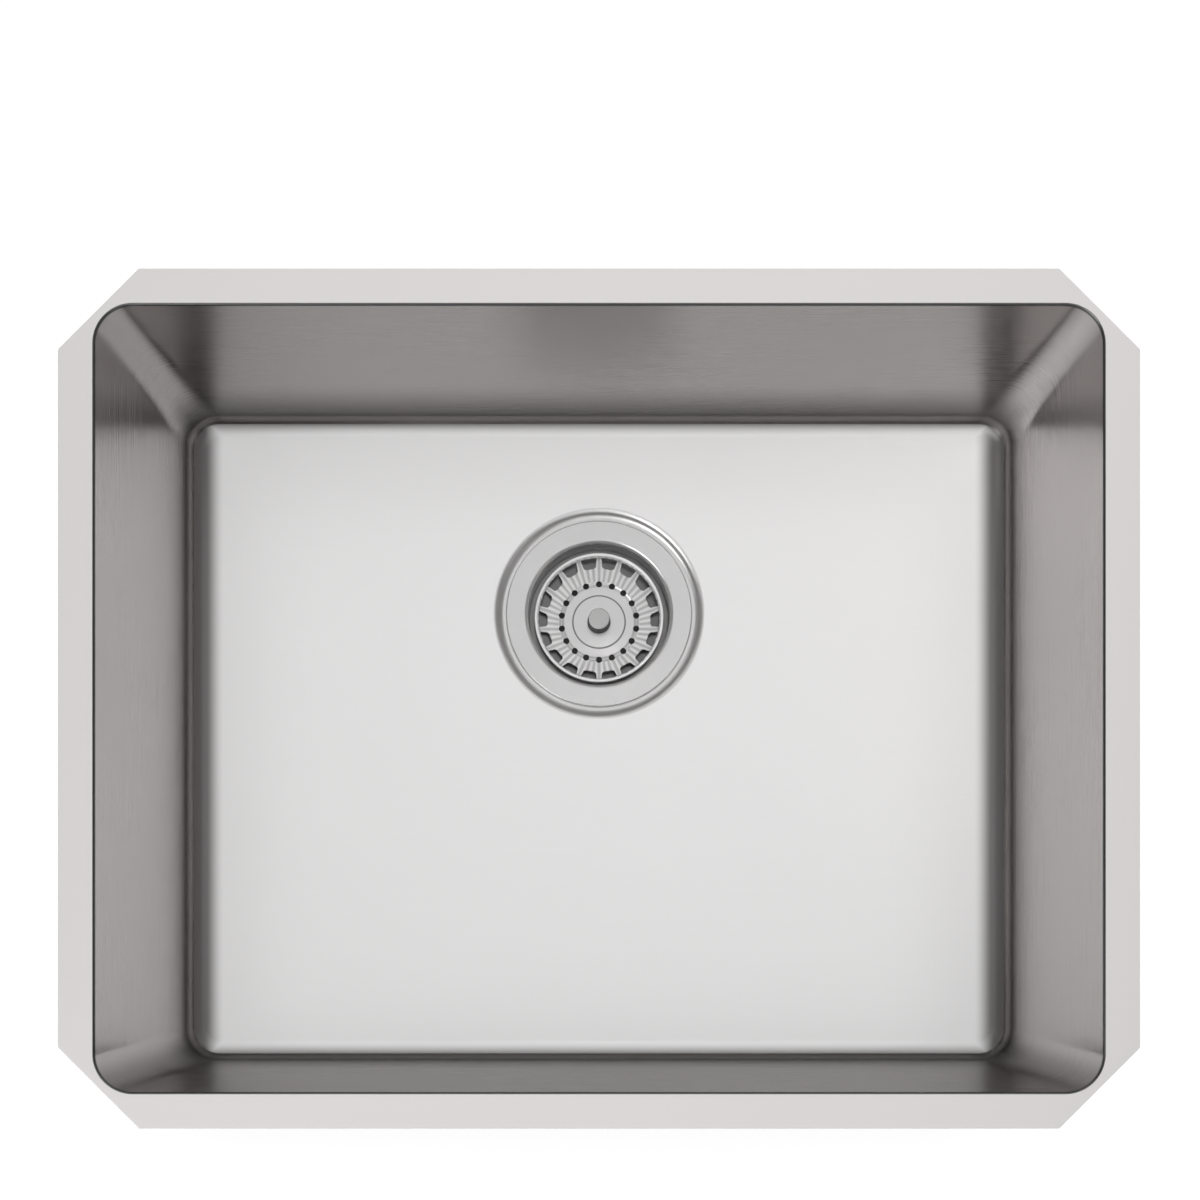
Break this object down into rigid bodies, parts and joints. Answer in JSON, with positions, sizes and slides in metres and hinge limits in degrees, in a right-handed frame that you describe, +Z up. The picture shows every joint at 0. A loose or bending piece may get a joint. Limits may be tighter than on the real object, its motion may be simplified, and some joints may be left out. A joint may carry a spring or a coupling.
{
  "type": "undermount kitchen sink",
  "caption": "Single-bowl undermount kitchen sink in satin stainless steel, with a flat chamfered flange, a lift-out basket strainer and its drain outlet.",
  "frame": {"origin": "centre of the bowl's opening, in the plane of the flange's top face", "axes": "+X to the user's right along the long side, +Y to the back where the drain sits, +Z up out of the bowl"},
  "size_m": [0.536, 0.426, 0.3425],
  "materials": {
    "satin_steel": "fine satin brushed stainless steel",
    "polished_steel": "polished stainless steel",
    "knob_steel": "matt blasted steel",
    "pad_rubber": "embossed sound-deadening rubber",
    "seal_rubber": "smooth moulded rubber",
    "fibre": "pressed fibre",
    "white_plastic": "moulded plastic",
    "cast_zinc": "die-cast zinc"
  },
  "bodies": {
    "sink": {"sink_bowl": "satin_steel", "base_pad": "pad_rubber", "front_pad": "pad_rubber", "right_pad": "pad_rubber", "back_pad": "pad_rubber", "left_pad": "pad_rubber", "strainer_body": "polished_steel", "flange_seal": "seal_rubber", "under_gasket": "seal_rubber", "friction_ring": "fibre", "lock_nut": "cast_zinc", "tail_washer": "white_plastic", "tailpiece": "polished_steel", "coupling_nut": "cast_zinc"},
    "stopper": {"basket_stem": "polished_steel", "basket_knob": "knob_steel", "stopper_plate": "polished_steel", "stopper_seal": "seal_rubber", "seal_washer": "polished_steel", "stem_nut": "polished_steel", "stem_clip": "white_plastic"},
    "basket": {"basket_cup": "polished_steel"}
  },
  "joints": [
    {"name": "basket_lift", "type": "slide", "parent": "sink", "child": "stopper", "axis": [0, 0, 1], "range_m": [0, 0.27]},
    {"name": "basket_turn", "type": "hinge", "parent": "stopper", "child": "basket", "pos_m": [0, 0.077, -0.2316], "axis": [0, 0, 1], "continuous": true}
  ]
}
